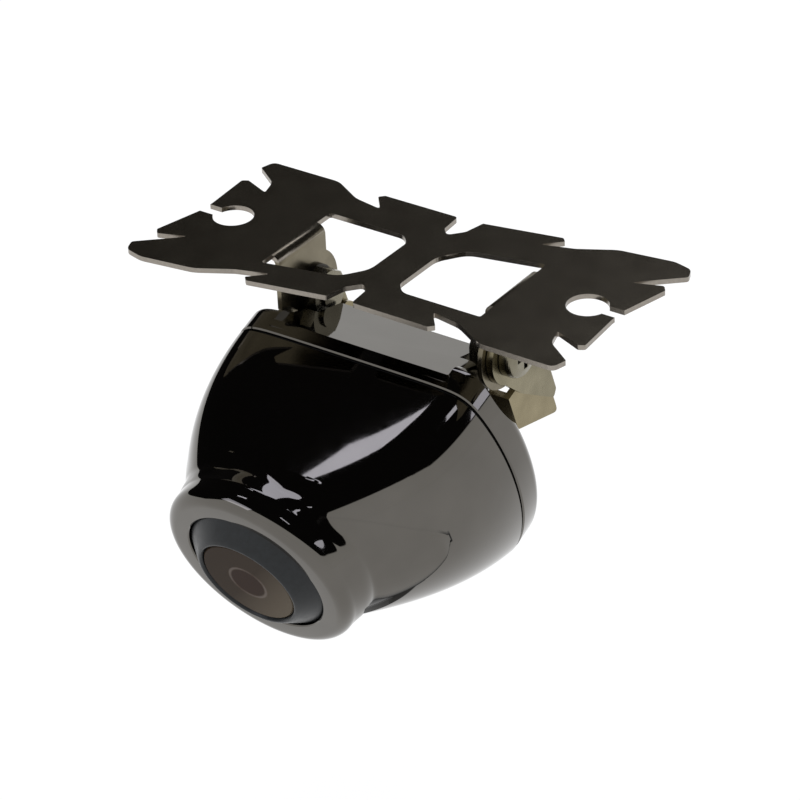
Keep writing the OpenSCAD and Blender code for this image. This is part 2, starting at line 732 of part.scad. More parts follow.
module front_lens() {
    dome_r = 5;
    color("#6b5a8a") at_housing() translate([0, 0, lens_stack - lens_h]) {
        cylinder(r = lens_r, h = lens_h);
        intersection() {
            cylinder(r = pupil_r - seat_clear, h = 5);
            translate([0, 0, lens_h + 0.55 - dome_r]) sphere(r = dome_r);
        }
    }
}

module stack_ring(front, h, inner_r) {
    translate([0, 0, front - h]) difference() {
        cylinder(r = lens_r, h = h);
        translate([0, 0, -1]) cylinder(r = inner_r, h = h + 2);
    }
}

module lens_spacer() color("#111114") at_housing() stack_ring(lens_stack - lens_h, spacer_h, lens_r - 0.6);
module rear_lens() color("#7a90a8") at_housing()
    translate([0, 0, lens_stack - 2 * lens_h - spacer_h]) cylinder(r = lens_r, h = lens_h);
module lens_retainer() color("#111114") at_housing()
    stack_ring(lens_stack - 2 * lens_h - spacer_h, retainer_h, lens_r - 1);

module lens_holder() {
    color("#1b1b1b") at_housing() difference() {
        union() {
            translate([-holder_box / 2, -holder_box / 2, board_front]) cube([holder_box, holder_box, holder_h]);
            translate([0, 0, board_front + holder_h]) cylinder(r = holder_tube_r, h = 4.5);
        }
        translate([-holder_box / 2 + 1.2, -holder_box / 2 + 1.2, board_front - 1])
            cube([holder_box - 2.4, holder_box - 2.4, holder_h]);
        translate([0, 0, board_front + 1]) cylinder(r = 3.4, h = 20);
        translate([0, 0, barrel_back]) cylinder(r = barrel_r + seat_clear, h = 20);
    }
}

module ir_filter() color("#5f9aa0") at_housing()
    translate([-filter_w / 2, -filter_w / 2, board_front + holder_h - 1 - filter_t])
        cube([filter_w, filter_w, filter_t]);

module image_sensor() {
    color("#2d3b33") at_housing() translate([-sensor_w / 2, -sensor_h / 2, board_front]) {
        cube([sensor_w, sensor_h, sensor_t]);
        translate([0.8, 0.8, sensor_t]) cube([sensor_w - 1.6, sensor_h - 1.6, 0.1]);
    }
}

module sensor_board() {
    color("#1f5a33") at_housing() difference() {
        translate([-board_w / 2, board_mid - board_h / 2, board_ahead]) cube([board_w, board_h, board_t]);
        board_places() translate([0, 0, board_ahead - 1])
            cylinder(r = board_screw_d / 2 + seat_clear, h = board_t + 2);
    }
}

module board_screws() {
    color("#b8b4a8") at_housing() board_places() translate([0, 0, board_ahead]) {
        cylinder(d = board_screw_d, h = board_t + 3.5);
        translate([0, 0, -0.8]) cylinder(r = board_screw_d * 0.9, h = 0.8);
    }
}

module wire_header() {
    color("#e8e2d0") at_housing() translate([-header_w / 2, board_mid - header_h, board_ahead - header_h])
        difference() {
            cube([header_w, header_h, header_h]);
            translate([header_wall, header_wall, -1])
                cube([header_w - 2 * header_wall, header_h - 2 * header_wall, header_h + 1 - header_wall]);
        }
}

mount_plate();
pivot_screw(-1);  // left_pivot_screw
pivot_screw(1);  // right_pivot_screw
pivot_washer(-1);  // left_pivot_washer
pivot_washer(1);  // right_pivot_washer
pivot_nut(-1);  // left_pivot_nut
pivot_nut(1);  // right_pivot_nut
swivel_arm(-1);  // left_swivel_arm
swivel_arm(1);  // right_swivel_arm
arm_rivets();
rear_saddle();
saddle_screws();
cable_gland();
back_cover();
cover_gasket();
housing_screws();
front_shell();
lens_ring();
cover_window();
window_seal();
lens_barrel();
front_lens();
lens_spacer();
rear_lens();
lens_retainer();
lens_holder();
ir_filter();
image_sensor();
sensor_board();
board_screws();
wire_header();
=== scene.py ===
"""Looks of a tilting backup camera on a stamped mounting plate.

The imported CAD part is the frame. The glossy mouldings, the lens ring and the arms' rivets
are remade here as fine meshes on the CAD part's sizes, and every CAD node left showing gets
its own material. Sizes are millimetres until they become vertices, and angles are degrees.
"""
import math

import bmesh
import bpy
import numpy as np
from mathutils import Matrix, Vector


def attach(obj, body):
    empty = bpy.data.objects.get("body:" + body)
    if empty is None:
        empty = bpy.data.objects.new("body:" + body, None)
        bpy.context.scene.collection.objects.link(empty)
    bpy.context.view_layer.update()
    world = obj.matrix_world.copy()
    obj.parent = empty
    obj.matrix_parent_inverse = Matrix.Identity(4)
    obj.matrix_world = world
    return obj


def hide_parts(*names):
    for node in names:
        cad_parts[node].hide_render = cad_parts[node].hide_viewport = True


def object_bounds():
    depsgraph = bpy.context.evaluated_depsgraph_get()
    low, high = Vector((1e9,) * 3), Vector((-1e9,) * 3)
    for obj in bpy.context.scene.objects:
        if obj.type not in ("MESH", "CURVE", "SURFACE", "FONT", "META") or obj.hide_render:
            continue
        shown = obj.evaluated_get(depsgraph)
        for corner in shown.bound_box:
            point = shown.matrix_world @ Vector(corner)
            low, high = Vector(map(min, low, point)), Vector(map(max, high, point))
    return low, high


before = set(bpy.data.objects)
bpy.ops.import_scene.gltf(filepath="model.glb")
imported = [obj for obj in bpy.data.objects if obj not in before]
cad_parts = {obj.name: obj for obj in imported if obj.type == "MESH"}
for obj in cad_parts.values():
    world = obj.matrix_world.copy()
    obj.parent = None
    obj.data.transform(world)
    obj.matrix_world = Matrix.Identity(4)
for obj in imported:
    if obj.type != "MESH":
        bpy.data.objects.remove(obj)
cad_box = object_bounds()

MM = 0.001
CAMERA = "camera"

# The photograph's view
VIEW_AZIMUTH = 35.97
VIEW_ELEVATION = 31.68
VIEW_ROLL = -2.58
VIEW_DISTANCE = 380
VIEW_SIDE = 0.639
VIEW_RISE = 15.664
SENSOR_MM = 36
FOCAL_MM = 153.9

# Studio: the walls' top edge as mirrors see it, higher ahead of the part and lower at the left
WALL_TOP = 0.23
FRONT_WALL = 0.55
LEFT_START = 0.55
LEFT_DROP = 2
WALL_EDGE = (0.97, 0.97, 0.96)
CEILING = (0.012, 0.011, 0.011)
FILL_GREY = (0.5, 0.5, 0.5, 1)

# Floor: sizes in metres, its glow, and its greys as the camera and as scattered light meet it
FLOOR_HALF = 3
FLOOR_DROP = 0.03
FLOOR_GLOW = 0.88
FLOOR_SEEN = (0.22, 0.22, 0.22, 1)
FLOOR_LIT = (0.85, 0.85, 0.85, 1)

# Lamps, in metres: name, place, the point it looks at, size and watts
LAMP_COLOR = (0.82, 0.84, 1.0)
PART_MIDDLE = (0, -0.02, -0.02)
LAMPS = (
    ("softbox", (-0.313, 0.087, 0.69), (-0.313, 0.087, 0), (0.14, 0.066), 0.1),
    ("corner_box", (0.335, 0.085, 0.69), (0.335, 0.085, 0), (0.17, 0.066), 0.1),
    ("back_box", (-0.2, 0.53, 0.59), (-0.2, 0.53, 0), (0.21, 0.56), 1),
    ("front_box", (-0.31, -0.53, 0.42), PART_MIDDLE, (0.4, 0.25), 0.6),
    ("side_box", (0.565, 0.3, 0.245), PART_MIDDLE, (0.18, 0.18), 0.25),
)

# Places of the part
PIVOT = (0.3, -0.95, -7)
TILT = 20
SEAM_AHEAD = 10
AXIS_DROP = 5.76

# Housing
RIM_HALF = 18.5
RIM_OVAL = 22.1
RIM_TOP = 9.6
RIM_BOTTOM = 20.6
RIM_LOW = 3.9
RIM_POWER = 2.07
EDGE_POWER = 9
HALF_POWER = 2.3
UPPER_POWER = 1.3
MID_POWER = 1.35
TOP_POWER = 0.8
SHELL_LEN = 21
NECK_R = 10.4
NECK_OVAL = 12.1
NECK_TOP = 10
NECK_LOW = 0.4
WALL = 1.8
SEAM = 0.3
SEAM_BEVEL = 0.15
COVER_STRAIGHT = 2.6
COVER_ROUND = 2.1
COVER_INSET = 3.6
COVER_REAR = SEAM / 2 + COVER_STRAIGHT + COVER_ROUND
OVERLAP = 1
SLIVER = 0.01

# The cover's roof, pad and reliefs
ROOF_HALF = 12
ROOF_START = 1.9
ROOF_SLOPE = 32.5
ROOF_REAR = 10.4
ROOF_DROP = 0.02
ROOF_LEAD = 0.05
EAVE_H = 1
CUT_SIDE = 0.3
CUT_REACH = 2
CUT_RISE = 5
PAD_W = 18
PAD_TOP = 0.3
PAD_BOTTOM = -11.34
PAD_DEPTH = 3.2
PAD_CORNER = 2
TAB_RELIEF_X = 12.3
TAB_RELIEF_R = 7.4
NUT_RELIEF_X = 9.6
NUT_RELIEF_R = 3.5
RELIEF_LEN = 10

# Nose: its rim, the flare behind it, and how the rim widens into the cheeks
NOSE_R = 11.8
NOSE_FRONT = 23.95
NOSE_EDGE = 1.5
CREST_BACK = 20.85
CREST_EASE = 0.06
CREST_BLEND = 0.1
FLARE_START = 16.2
FLARE_R = 9.9
FLARE_POWER = 1.2
FLARE_BLEND = 2.2
FLARE_EASE = 0.55
RIM_TAPER = 0.34
TAPER_EASE = 0.8
BESIDE_TOP = 35
BESIDE_LOW = 30
BESIDE_FULL = 5
ARCH_RISE = 0.3
ARCH_BEND = 0.12
ARCH_BLEND = 0.4
ARCH_FADE = 30

# Cheeks: their edges, the raised lip, and the groove and slit under it
CHEEK_TIP = 10.6
CHEEK_END = 19.4
CHEEK_ANGLE = -5.2
CHEEK_LIFT = 0.212
CHEEK_SPREAD = 3.6
CHEEK_BLUNT = 2
BLUNT_RUN = 0.35
HALF_LEAST = 1.5
CHEEK_LIP = 0.5
UPPER_LIP = 0.35
LIP_FADE = (13, 18)
LIP_ROUND = 0.25
LIP_END = (CHEEK_END - 1, CHEEK_END + 0.6)
TIP_BEFORE = 0.1
TIP_RISE = 1.6
GROOVE_START = 14.2
GROOVE_RISE = 2
GROOVE_END = 0.8
GROOVE_DEPTH = 0.5
GROOVE_ANGLE = -17
GROOVE_SLOPE = 5.8
GROOVE_LEAST = 3.4
GROOVE_LEDGE = 0.5
EDGE_WIDTH = 1.4
SLIT_DEPTH = 0.5
SLIT_RISE = 1
SLIT_END = CREST_BACK - 0.2
SLIT_MARGIN = 0.1

# Columns of the shell's rings: the cheek's upper and lower edge, then those of slit, groove and the rest
UPPER_EDGE = 44
LOWER_EDGE = 74
SLIT_COLUMNS = 4
GROOVE_COLUMNS = 8
FAR_COLUMNS = 3
LOW_COLUMNS = 36
RING_POINTS = 2 * (LOWER_EDGE + SLIT_COLUMNS + GROOVE_COLUMNS + FAR_COLUMNS + LOW_COLUMNS)

# How dark the painted shade is drawn along the cheeks' edges, tips, slits and grooves
UPPER_SHADE = 0.05
TIP_SHADE = 0.9
TIP_LINE = 1.2
LIP_SHADE = 0.25
GROOVE_SHADE_FADE = 0.03
SHADE_END = CREST_BACK - 0.6

# Lens ring and window; pupil and glint are shares of the window's radius
RING_SEAT_R = 8.64
RING_BACK = 20
RING_PROUD = 1.65
SEAT_CHAMFER = 0.12
BORE_LEN = SHELL_LEN * 0.86
CAVITY_LEN = SHELL_LEN * 0.84
WINDOW_R = 5.8
# Direction in which the window's painted bounce light grows, from the upper left to the lower right of the
# lens face
BOUNCE_LIGHT_WAY = (0.77, 0.08, -0.62)
PUPIL = (0.34, 0.4)
GLINT = (0.36, 0.39, 0.41, 0.44)

# Rivets between arms and saddle, and the broken edges of CAD nodes
RIVET_R = 0.73
RIVET_HEAD = 0.4
RIVET_FLUSH = 0.003
WELD_REACH = 0.002
EDGE_BREAK = 0.09

TURN = Matrix.Rotation(math.radians(TILT), 4, "X")
HOUSING = (Matrix.Scale(MM, 4) @ Matrix.Translation(PIVOT) @ TURN
           @ Matrix.Translation((0, -SEAM_AHEAD, -AXIS_DROP))
           @ Matrix.Rotation(math.radians(90), 4, "X"))


# Mesh helpers

def lerp(a, b, t):
    return a + (b - a) * t


def new_object(name, mesh):
    obj = bpy.data.objects.new(name, mesh)
    bpy.context.scene.collection.objects.link(obj)
    return obj


def smooth(mesh, degrees):
    for face in mesh.polygons:
        face.use_smooth = True
    mesh.set_sharp_from_angle(angle=math.radians(degrees))


def ring_mesh(name, rings, place, closed=False, caps=False):
    """Skins a stack of rings, each an array of points in millimetres, into one mesh."""
    count = len(rings[0])
    points = [place @ Vector(p) for ring in rings for p in ring]
    spans = len(rings) if closed else len(rings) - 1
    faces = []
    for j in range(spans):
        low = j * count
        high = (j + 1) % len(rings) * count
        for i in range(count):
            k = (i + 1) % count
            faces.append((low + i, low + k, high + k, high + i))
    if caps:
        faces.append(tuple(reversed(range(count))))
        faces.append(tuple(range((len(rings) - 1) * count, len(rings) * count)))
    mesh = bpy.data.meshes.new(name)
    mesh.from_pydata(points, [], faces)
    mesh.validate()
    shape = bmesh.new()
    shape.from_mesh(mesh)
    bmesh.ops.recalc_face_normals(shape, faces=shape.faces)
    shape.to_mesh(mesh)
    shape.free()
    return mesh


def circle_ring(radius, z, count):
    angles = np.linspace(0, 2 * math.pi, count, endpoint=False)
    return [(radius * math.cos(a), radius * math.sin(a), z) for a in angles]


def lathe(name, profile, count=160):
    """Turns a closed profile of (radius, height) about the lens axis."""
    rings = [circle_ring(r, z, count) for r, z in profile]
    return ring_mesh(name, rings, HOUSING, closed=True)


def round_corners(profile, radius, steps=5):
    """Rounds each corner of a closed profile, as far as its edges allow."""
    points = [Vector(p) for p in profile]
    result = []
    for i, here in enumerate(points):
        back = points[i - 1] - here
        ahead = points[(i + 1) % len(points)] - here
        reach = min(radius, 0.45 * back.length, 0.45 * ahead.length)
        start = here + back.normalized() * reach
        stop = here + ahead.normalized() * reach
        for n in range(steps + 1):
            t = n / steps
            result.append((1 - t) ** 2 * start + 2 * t * (1 - t) * here + t ** 2 * stop)
    return [(p.x, p.y) for p in result]


# Housing form

def soft_limit(v, limit):
    v = np.maximum(v, 1e-6)
    return (v ** -EDGE_POWER + limit ** -EDGE_POWER) ** (-1 / EDGE_POWER)


def signed_pow(v, power):
    return np.sign(v) * np.abs(v) ** power


def outline(turn, s, inset=0.0):
    """Points of the housing's outline at taper s: an oval with a flat top and bottom."""
    half = lerp(RIM_HALF, NECK_R, s ** HALF_POWER) - inset
    upper = lerp(RIM_OVAL, NECK_OVAL, s ** UPPER_POWER) - inset
    lower = lerp(RIM_OVAL, NECK_R, s) - inset
    mid = -lerp(RIM_LOW, NECK_LOW, s ** MID_POWER)
    top = lerp(RIM_TOP, NECK_TOP, s ** TOP_POWER) - inset - mid
    bottom = lerp(RIM_BOTTOM, NECK_R, s) - inset + mid
    x = half * signed_pow(np.cos(turn), 2 / RIM_POWER)
    y = signed_pow(np.sin(turn), 2 / RIM_POWER)
    above = soft_limit(upper * np.abs(y), top)
    below = soft_limit(lower * np.abs(y), bottom)
    return x, mid + np.where(y > 0, above, -below)


def shell_radius(degrees, s, inset=0.0):
    """Distance of the outline from the lens axis, at angles about that axis."""
    turn = np.linspace(-math.pi, math.pi, 1441)
    x, y = outline(turn, max(s, 0), inset)
    angle = np.degrees(np.arctan2(y, x))
    order = np.argsort(angle)
    return np.interp(degrees, angle[order], np.hypot(x, y)[order], period=360)


def soft_max(a, b, blend):
    return np.maximum(a, b) + np.maximum(blend - np.abs(a - b), 0) ** 2 / (4 * blend)


def step(low, high, v):
    t = np.clip((v - low) / (high - low), 0, 1)
    return t * t * (3 - 2 * t)


def collar_radius(z):
    """The nose: a flare behind, a short rim and a rounded front edge."""
    front = NOSE_FRONT - NOSE_EDGE
    if z <= FLARE_START:
        return 0
    if z < CREST_BACK:
        t = (z - FLARE_START) / (CREST_BACK - FLARE_START)
        return lerp(FLARE_R, NOSE_R, t ** FLARE_POWER - CREST_EASE * step(FLARE_EASE, 1, t))
    if z < front:
        return NOSE_R - CREST_EASE * (NOSE_R - FLARE_R) * (1 - step(CREST_BACK, front, z))
    a = math.asin(min(1, (z - front) / NOSE_EDGE))
    return NOSE_R - NOSE_EDGE * (1 - math.cos(a))


def rim_radius(z, beside):
    """The nose's rim, which widens backwards where it runs into a cheek."""
    run = NOSE_FRONT - NOSE_EDGE - z
    if run < 0:
        return np.full(len(beside), collar_radius(z))
    return lerp(collar_radius(z), NOSE_R + RIM_TAPER * run ** 2 / (run + TAPER_EASE), beside)


def cheek_lines(z):
    """Angles of the cheek's upper and lower edge and of the groove's far edge at z."""
    run = max(0, min(z, CHEEK_END) - CHEEK_TIP)
    middle = CHEEK_ANGLE + CHEEK_LIFT * run ** 2
    half = max(HALF_LEAST, CHEEK_SPREAD * run + CHEEK_BLUNT * (1 - math.exp(-run / BLUNT_RUN)))
    upper = middle + half
    lower = middle - half
    groove = GROOVE_ANGLE - GROOVE_SLOPE * (min(z, CHEEK_END) - GROOVE_START)
    return upper, lower, min(groove, lower - GROOVE_LEAST)


def side_angles(z):
    """Angles of the right half's points, from the top round to the bottom, along the cheek's edges."""
    upper, lower, groove = cheek_lines(z)
    slit_end = lower - EDGE_WIDTH
    turns = (90, upper, lower, slit_end, groove, groove - 1, -90)
    counts = (UPPER_EDGE, LOWER_EDGE - UPPER_EDGE, SLIT_COLUMNS, GROOVE_COLUMNS, FAR_COLUMNS, LOW_COLUMNS)
    parts = [np.linspace(a, b, n, endpoint=False) for a, b, n in zip(turns, turns[1:], counts)]
    return np.concatenate(parts)


def all_round(right):
    """Angles of a whole ring, from those of its right half."""
    return np.concatenate([right, [-90], 180 - right[:0:-1]])


def cheek_relief(z, right):
    """What the cheek's lip adds to the radius, less the groove and the slit under it."""
    upper, lower, groove = cheek_lines(z)
    across = np.clip((upper - right) / (upper - lower), 0, 1)
    share = lerp(UPPER_LIP * (1 - step(*LIP_FADE, z)), 1, across) * step(0, LIP_ROUND, across)
    lip_reach = step(CHEEK_TIP - TIP_BEFORE, CHEEK_TIP + TIP_RISE, z) * (1 - step(*LIP_END, z))
    lip = CHEEK_LIP * share * (right >= lower - SLIVER) * lip_reach
    in_groove = (right < lower - GROOVE_LEDGE) * (right > groove + SLIVER)
    groove_reach = step(GROOVE_START, GROOVE_START + GROOVE_RISE, z)
    groove_reach *= 1 - step(CHEEK_END, CHEEK_END + GROOVE_END, z)
    in_slit = (right < lower - SLIT_MARGIN) * (right > lower - EDGE_WIDTH + SLIT_MARGIN)
    slit_reach = step(CHEEK_TIP, CHEEK_TIP + SLIT_RISE, z) * (1 - step(CHEEK_END, SLIT_END, z))
    return lip - GROOVE_DEPTH * groove_reach * in_groove - SLIT_DEPTH * slit_reach * in_slit


def skin_ring(z):
    """One ring of the front shell's outside, with the nose and both cheeks."""
    right = side_angles(z)
    upper, lower, _ = cheek_lines(z)
    beside = 1 - step(upper - BESIDE_TOP, upper, right)
    beside *= step(lower - BESIDE_LOW, lower - BESIDE_FULL, right)
    if z < CREST_BACK:
        radius = shell_radius(right, (z - SEAM / 2) / SHELL_LEN) + cheek_relief(z, right)
        width = lerp(FLARE_BLEND, CREST_BLEND, step(FLARE_START, CREST_BACK, z))
        radius = soft_max(radius, collar_radius(z), width)
        behind = CREST_BACK - z
        arch = rim_radius(CREST_BACK, beside) + ARCH_RISE * behind - ARCH_BEND * behind ** 2
        flush = soft_max(radius, arch, ARCH_BLEND * min(1, behind) + SLIVER)
        on_cheek = (right >= lower - SLIVER) * (1 - step(upper, upper + ARCH_FADE, right))
        radius = lerp(radius, flush, on_cheek)
    else:
        radius = rim_radius(z, beside)
    angles = np.radians(all_round(right))
    radius = np.concatenate([radius, [radius[-1]], radius[:0:-1]])
    return [(r * math.cos(a), r * math.sin(a), z) for a, r in zip(angles, radius)]


def inner_ring(z, inset):
    angles = all_round(side_angles(z))
    radius = shell_radius(angles, (z - SEAM / 2) / SHELL_LEN, inset)
    return [(r * math.cos(a), r * math.sin(a), z) for a, r in zip(np.radians(angles), radius)]


def flat_ring(radius, z):
    angles = np.radians(all_round(side_angles(z)))
    return [(radius * math.cos(a), radius * math.sin(a), z) for a in angles]


def shell_stations():
    """Heights of the shell's rings: closer at the cheek's tip, the flare and the front edge."""
    front = NOSE_FRONT - NOSE_EDGE
    spans = ((SEAM / 2 + SEAM_BEVEL, CHEEK_TIP - 0.3, 20), (CHEEK_TIP - 0.3, CHEEK_TIP + 1.2, 18),
             (CHEEK_TIP + 1.2, FLARE_START, 26), (FLARE_START, CREST_BACK, 26), (CREST_BACK, front, 10))
    heights = [z for a, b, n in spans for z in np.linspace(a, b, n, endpoint=False)]
    edge = [front + NOSE_EDGE * math.sin(a) for a in np.linspace(0, math.pi / 2, 9)]
    return heights + edge


def shade_cheeks(mesh, heights):
    """Marks the points of the cheeks' slits, grooves and tips where the chrome gets painted shade."""
    shade = mesh.attributes.new("slit", "FLOAT", "POINT")
    slit_end = LOWER_EDGE + SLIT_COLUMNS
    groove_end = slit_end + GROOVE_COLUMNS + FAR_COLUMNS
    for j, z in enumerate(heights):
        marks = {}
        if CHEEK_TIP + TIP_BEFORE < z < SHADE_END:
            marks[UPPER_EDGE] = lerp(TIP_SHADE, UPPER_SHADE, step(0, TIP_LINE, z - CHEEK_TIP))
            marks[LOWER_EDGE - 1] = LIP_SHADE
            marks.update({n: 1 for n in range(LOWER_EDGE, slit_end)})
            if z > GROOVE_START:
                marks.update({n: 1 - GROOVE_SHADE_FADE * (n - slit_end) for n in range(slit_end, groove_end)})
        elif abs(z - CHEEK_TIP) <= TIP_BEFORE:
            marks = {n: TIP_SHADE for n in range(UPPER_EDGE, slit_end)}
        start = (j + 1) * RING_POINTS
        for column, value in marks.items():
            shade.data[start + column].value = value
            shade.data[start + RING_POINTS - column].value = value


def make_front_shell():
    seam = SEAM / 2
    rings = [inner_ring(seam, SEAM_BEVEL)]
    heights = shell_stations()
    rings += [skin_ring(z) for z in heights]
    rings += [flat_ring(RING_SEAT_R + SEAT_CHAMFER, NOSE_FRONT)]
    rings += [flat_ring(RING_SEAT_R, NOSE_FRONT - SEAT_CHAMFER)]
    rings += [flat_ring(RING_SEAT_R, RING_BACK), flat_ring(WINDOW_R, RING_BACK)]
    rings += [flat_ring(WINDOW_R, BORE_LEN)]
    rings += [inner_ring(z, WALL) for z in np.linspace(CAVITY_LEN, seam, 6)]
    mesh = ring_mesh("front_shell_skin", rings, HOUSING, closed=True)
    smooth(mesh, 40)
    shade_cheeks(mesh, heights)
    obj = new_object("front_shell_skin", mesh)
    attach(obj, CAMERA)
    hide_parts("front_shell")
    return obj


def bake(obj):
    """Takes the result of an object's modifiers as its mesh."""
    graph = bpy.context.evaluated_depsgraph_get()
    mesh = bpy.data.meshes.new_from_object(obj.evaluated_get(graph))
    obj.modifiers.clear()
    obj.data = mesh


def drum(name, place, radius, length):
    rings = [circle_ring(radius, 0, 96), circle_ring(radius, length, 96)]
    return new_object(name, ring_mesh(name, rings, place, caps=True))


def join_cut(obj, other, operation):
    """Joins a closed mesh to an object or cuts it away, and removes the mesh joined or cut."""
    modifier = obj.modifiers.new(operation.lower(), "BOOLEAN")
    modifier.operation = operation
    modifier.solver = "EXACT"
    modifier.object = other
    bake(obj)
    bpy.data.objects.remove(other)


def cover_body():
    """The cover's dish, from the seam to its flat rear face."""
    turn = np.linspace(0, 2 * math.pi, 240, endpoint=False)
    seam = SEAM / 2

    def cover_ring(depth, inset):
        x, y = outline(turn, 0, inset)
        return [(a, b, -depth) for a, b in zip(x, y)]

    rings = [cover_ring(seam, SEAM_BEVEL)]
    rings += [cover_ring(seam + depth, 0) for depth in (SEAM_BEVEL, COVER_STRAIGHT)]
    for a in np.linspace(0, math.pi / 2, 13)[1:]:
        depth = seam + COVER_STRAIGHT + COVER_ROUND * math.sin(a)
        rings.append(cover_ring(depth, COVER_INSET * (1 - math.cos(a))))
    return new_object("back_cover_skin", ring_mesh("back_cover_skin", rings, HOUSING, caps=True))


def roof_height(depth):
    """The roof's slope, from where it leaves the flat top."""
    return RIM_TOP - ROOF_DROP - math.tan(math.radians(ROOF_SLOPE)) * (depth - ROOF_START)


def cover_roof():
    """The slanted roof over the pad with its thin eave, stacked from its low edge up."""
    wall = COVER_REAR + PAD_DEPTH
    lead = ROOF_START + ROOF_LEAD
    eave = roof_height(ROOF_REAR)
    below = eave - EAVE_H
    levels = ((PAD_TOP, wall), (below, wall), (below + SLIVER, ROOF_REAR), (eave, ROOF_REAR),
              (roof_height(lead), lead))
    rings = []
    for height, depth in levels:
        corners = [(-ROOF_HALF, -OVERLAP), (-ROOF_HALF, -depth), (ROOF_HALF, -depth), (ROOF_HALF, -OVERLAP)]
        rings.append([(x, height, z) for x, z in round_corners(corners, PAD_CORNER, 8)])
    return new_object("roof", ring_mesh("roof", rings, HOUSING, caps=True))


def roof_cut():
    """What is taken off the cover's round edge, so that the roof is one plane."""
    far = ROOF_REAR + CUT_REACH
    over = RIM_TOP + CUT_RISE
    section = ((roof_height(ROOF_START), ROOF_START), (roof_height(far), far), (over, far),
               (over, ROOF_START))
    half = ROOF_HALF - CUT_SIDE
    rings = [[(x, height, -depth) for height, depth in section] for x in (-half, half)]
    return new_object("roof_cut", ring_mesh("roof_cut", rings, HOUSING, caps=True))


def rear_pad():
    half = PAD_W / 2
    top = PAD_TOP + OVERLAP
    corners = [(-half, PAD_BOTTOM), (half, PAD_BOTTOM), (half, top), (-half, top)]
    outline_points = round_corners(corners, PAD_CORNER, 8)
    depths = (COVER_REAR - OVERLAP, COVER_REAR + PAD_DEPTH)
    rings = [[(x, y, -depth) for x, y in outline_points] for depth in depths]
    return new_object("pad", ring_mesh("pad", rings, HOUSING, caps=True))


def pivot_drum(side, start, radius):
    pivot = Matrix.Scale(MM, 4) @ Matrix.Translation(PIVOT)
    turn = Matrix.Rotation(math.radians(90 * side), 4, "Y")
    return drum("relief", pivot @ Matrix.Translation((side * start, 0, 0)) @ turn, radius, RELIEF_LEN)


def make_back_cover():
    obj = cover_body()
    join_cut(obj, roof_cut(), "DIFFERENCE")
    join_cut(obj, cover_roof(), "UNION")
    join_cut(obj, rear_pad(), "UNION")
    for side in (-1, 1):
        join_cut(obj, pivot_drum(side, TAB_RELIEF_X, TAB_RELIEF_R), "DIFFERENCE")
        join_cut(obj, pivot_drum(side, NUT_RELIEF_X, NUT_RELIEF_R), "DIFFERENCE")
    smooth(obj.data, 30)
    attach(obj, CAMERA)
    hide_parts("back_cover")
    return obj


def make_lens_ring():
    top = NOSE_FRONT + RING_PROUD
    seat = WINDOW_R + 0.05
    lip = seat + 0.3
    foot = seat - 0.6
    outer = RING_SEAT_R - 0.05
    shelf = RING_BACK + 2
    profile = [(foot, RING_BACK), (outer, RING_BACK), (outer, NOSE_FRONT - 0.45),
               (outer - 0.45, NOSE_FRONT - 0.05), (lip + 1.2, NOSE_FRONT + 0.7), (lip + 0.4, top - 0.2),
               (lip + 0.1, top), (lip - 0.1, top), (seat, top - 0.35), (seat, shelf), (foot, shelf)]
    mesh = lathe("lens_ring_turned", round_corners(profile, 0.45))
    smooth(mesh, 50)
    obj = new_object("lens_ring_turned", mesh)
    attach(obj, CAMERA)
    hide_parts("lens_ring")
    return obj


def islands(shape):
    """Points of each separate solid of a mesh, in the order of their first points."""
    done = set()
    for first in shape.verts:
        if first in done:
            continue
        done.add(first)
        found = [first]
        for vert in found:
            near = {edge.other_vert(vert) for edge in vert.link_edges} - done
            done |= near
            found.extend(near)
        yield [vert.co for vert in found]


def make_rivets():
    """The arms' rivets, set tight: their shanks fill the holes and end flush with the arms."""
    source = bmesh.new()
    source.from_mesh(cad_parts["arm_rivets"].data)
    bmesh.ops.remove_doubles(source, verts=source.verts, dist=WELD_REACH * MM)
    merged = bmesh.new()
    for points in islands(source):
        low = Vector([min(p[n] for p in points) for n in range(3)])
        high = Vector([max(p[n] for p in points) for n in range(3)])
        centre = (low + high) / 2
        side = 1 if centre.x > 0 else -1
        start = low.x if side > 0 else high.x
        length = (high.x - low.x) / MM
        head = (high.y - low.y) / 2 / MM
        turn = Matrix.Rotation(math.radians(90 * side), 4, "Y")
        place = Matrix.Translation((start, centre.y, centre.z)) @ turn @ Matrix.Scale(MM, 4)
        profile = ((head, 0), (head, RIVET_HEAD), (RIVET_R, RIVET_HEAD), (RIVET_R, length + RIVET_FLUSH))
        rings = [circle_ring(radius, z, 48) for radius, z in profile]
        merged.from_mesh(ring_mesh("rivet", rings, place, caps=True))
    mesh = bpy.data.meshes.new("arm_rivets_set")
    merged.to_mesh(mesh)
    source.free()
    merged.free()
    smooth(mesh, 40)
    obj = new_object("arm_rivets_set", mesh)
    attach(obj, CAMERA)
    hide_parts("arm_rivets")
    return obj


# Materials

def new_material(name, **values):
    """A material with its Principled shader, whose plain values are given by socket name."""
    material = bpy.data.materials.new(name)
    material.use_nodes = True
    shader = material.node_tree.nodes["Principled BSDF"]
    for key, value in values.items():
        shader.inputs[key.replace("_", " ")].default_value = value
    return material, material.node_tree, shader


def noise(tree, scale, detail):
    """Noise in the object's own space, with its scale in ripples per metre."""
    texture = tree.nodes.new("ShaderNodeTexNoise")
    texture.inputs["Scale"].default_value = scale
    texture.inputs["Detail"].default_value = detail
    texture.inputs["Roughness"].default_value = 0.55
    tree.links.new(coordinates(tree, "Object"), texture.inputs["Vector"])
    return texture.outputs["Fac"]


def ramp(tree, factor, stops):
    node = tree.nodes.new("ShaderNodeValToRGB")
    elements = node.color_ramp.elements
    while len(elements) < len(stops):
        elements.new(0.5)
    for element, (place, color) in zip(elements, stops):
        element.position = place
        element.color = (*color, 1)
    tree.links.new(factor, node.inputs["Fac"])
    return node.outputs["Color"]


